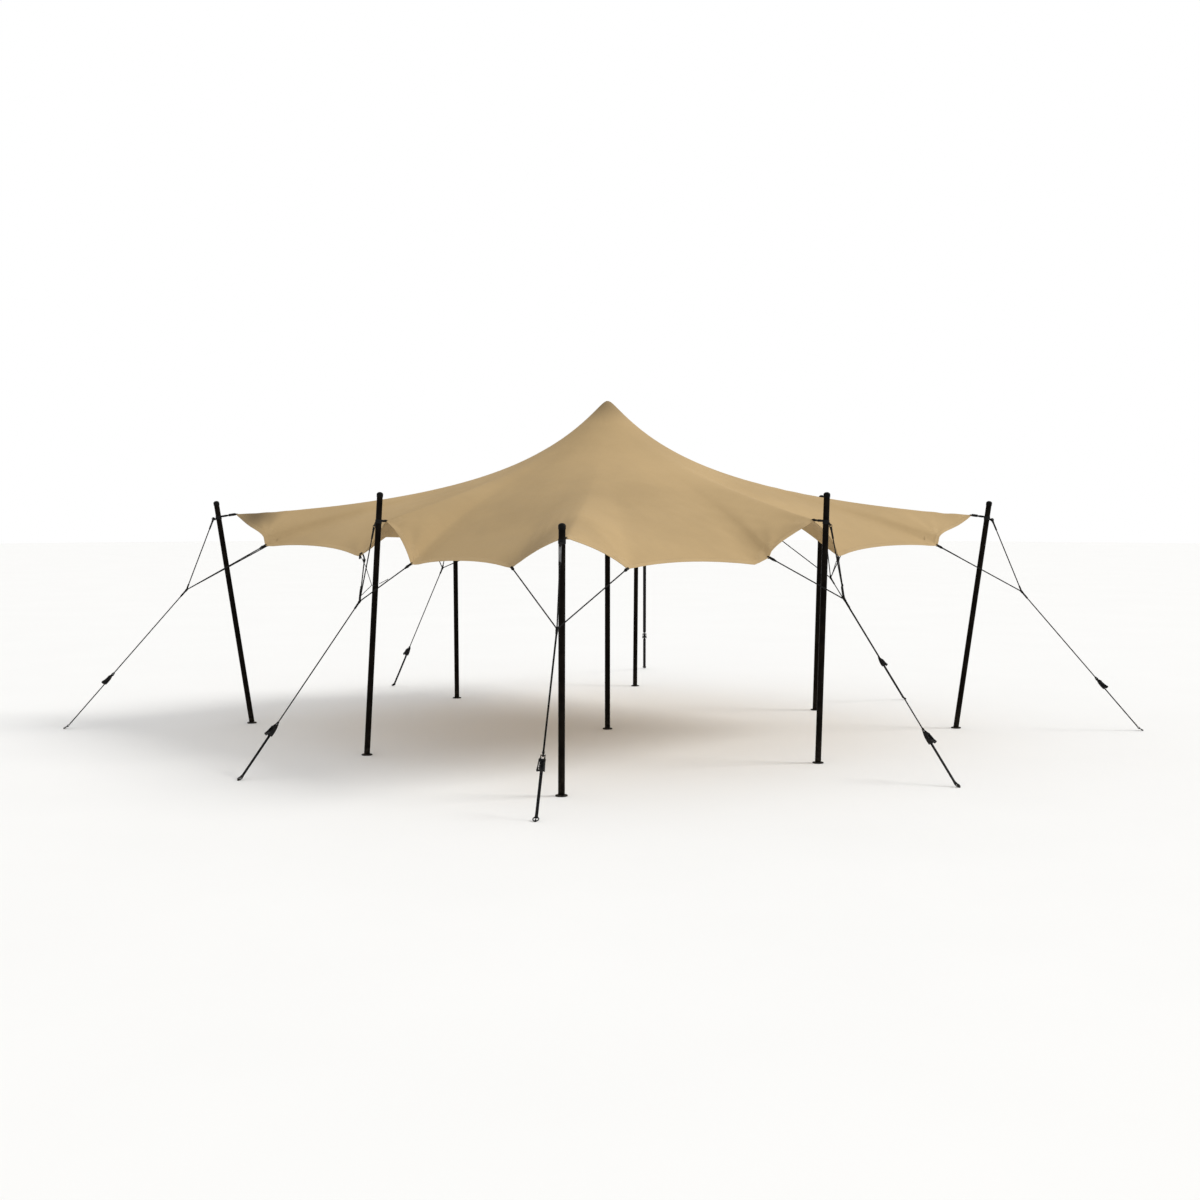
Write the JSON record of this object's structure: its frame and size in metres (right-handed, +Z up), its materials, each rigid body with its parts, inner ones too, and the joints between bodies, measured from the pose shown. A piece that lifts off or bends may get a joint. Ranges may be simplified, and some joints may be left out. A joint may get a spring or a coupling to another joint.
{
  "type": "stretch tent",
  "caption": "Stretch tent: tan elastic canopy peaked over a centre pole, held out by leaning black perimeter poles, each guyed to a ground stake through a ratchet",
  "frame": {"origin": "on the ground, at the middle of the underside of the centre pole's foot", "axes": "+Z up; +X and +Y run along the sides of the square canopy; the corner nearest the viewer in the picture is at +X, -Y"},
  "size_m": [9.5088, 9.162, 3.64],
  "materials": {
    "canopy_fabric": "matt coated stretch knit, tan",
    "pole_black": "satin black tube",
    "foot_black": "matt black",
    "rope_black": "braided rope, dull black",
    "strap_black": "woven webbing, dull black",
    "ratchet_steel": "dark coated steel",
    "stake_steel": "dark, slightly worn steel"
  },
  "bodies": {
    "tent": {"canopy": "canopy_fabric", "peak_head": "foot_black", "foot_centre": "foot_black", "pole_centre": "pole_black", "foot_front": "foot_black", "pole_front": "pole_black", "bridle_front": "rope_black", "ratchet_front": "ratchet_steel", "strap_front": "strap_black", "stake_front": "stake_steel", "foot_front_right": "foot_black", "pole_front_right": "pole_black", "bridle_front_right": "rope_black", "ratchet_front_right": "ratchet_steel", "strap_front_right": "strap_black", "stake_front_right": "stake_steel", "foot_right": "foot_black", "pole_right": "pole_black", "bridle_right": "rope_black", "ratchet_right": "ratchet_steel", "strap_right": "strap_black", "stake_right": "stake_steel", "foot_back_right": "foot_black", "pole_back_right": "pole_black", "bridle_back_right": "rope_black", "ratchet_back_right": "ratchet_steel", "strap_back_right": "strap_black", "stake_back_right": "stake_steel", "foot_back": "foot_black", "pole_back": "pole_black", "bridle_back": "rope_black", "ratchet_back": "ratchet_steel", "strap_back": "strap_black", "stake_back": "stake_steel", "foot_back_left": "foot_black", "pole_back_left": "pole_black", "bridle_back_left": "rope_black", "ratchet_back_left": "ratchet_steel", "strap_back_left": "strap_black", "stake_back_left": "stake_steel", "foot_left": "foot_black", "pole_left": "pole_black", "bridle_left": "rope_black", "ratchet_left": "ratchet_steel", "strap_left": "strap_black", "stake_left": "stake_steel", "foot_front_left": "foot_black", "pole_front_left": "pole_black", "bridle_front_left": "rope_black", "ratchet_front_left": "ratchet_steel", "strap_front_left": "strap_black", "stake_front_left": "stake_steel"},
    "ratchet_handle_front": {"handle_front": "ratchet_steel"},
    "ratchet_handle_front_right": {"handle_front_right": "ratchet_steel"},
    "ratchet_handle_right": {"handle_right": "ratchet_steel"},
    "ratchet_handle_back_right": {"handle_back_right": "ratchet_steel"},
    "ratchet_handle_back": {"handle_back": "ratchet_steel"},
    "ratchet_handle_back_left": {"handle_back_left": "ratchet_steel"},
    "ratchet_handle_left": {"handle_left": "ratchet_steel"},
    "ratchet_handle_front_left": {"handle_front_left": "ratchet_steel"}
  },
  "joints": [
    {"name": "ratchet_handle_front_hinge", "type": "hinge", "parent": "tent", "child": "ratchet_handle_front", "pos_m": [3.17877, -3.43719, 0.46237], "axis": [-0.8247, -0.5656, 0], "range_deg": [0, 160]},
    {"name": "ratchet_handle_front_right_hinge", "type": "hinge", "parent": "tent", "child": "ratchet_handle_front_right", "pos_m": [4.26226, 0.1481, 0.43027], "axis": [-0.0069, -1, 0], "range_deg": [0, 160]},
    {"name": "ratchet_handle_right_hinge", "type": "hinge", "parent": "tent", "child": "ratchet_handle_right", "pos_m": [3.60099, 4.1153, 0.54245], "axis": [0.6749, -0.7379, 0], "range_deg": [0, 160]},
    {"name": "ratchet_handle_back_right_hinge", "type": "hinge", "parent": "tent", "child": "ratchet_handle_back_right", "pos_m": [0.54592, 4.10198, 0.53183], "axis": [0.9955, -0.0949, 0], "range_deg": [0, 160]},
    {"name": "ratchet_handle_back_hinge", "type": "hinge", "parent": "tent", "child": "ratchet_handle_back", "pos_m": [-3.85476, 4.04999, 0.56317], "axis": [0.6718, 0.7407, 0], "range_deg": [0, 160]},
    {"name": "ratchet_handle_back_left_hinge", "type": "hinge", "parent": "tent", "child": "ratchet_handle_back_left", "pos_m": [-4.43376, 0.26746, 0.53368], "axis": [0.0799, 0.9968, 0], "range_deg": [0, 160]},
    {"name": "ratchet_handle_left_hinge", "type": "hinge", "parent": "tent", "child": "ratchet_handle_left", "pos_m": [-3.74497, -4.16362, 0.56688], "axis": [-0.8983, 0.4394, 0], "range_deg": [0, 160]},
    {"name": "ratchet_handle_front_left_hinge", "type": "hinge", "parent": "tent", "child": "ratchet_handle_front_left", "pos_m": [0.0423, -4.15124, 0.43283], "axis": [-0.9669, -0.2551, 0], "range_deg": [0, 160]}
  ]
}
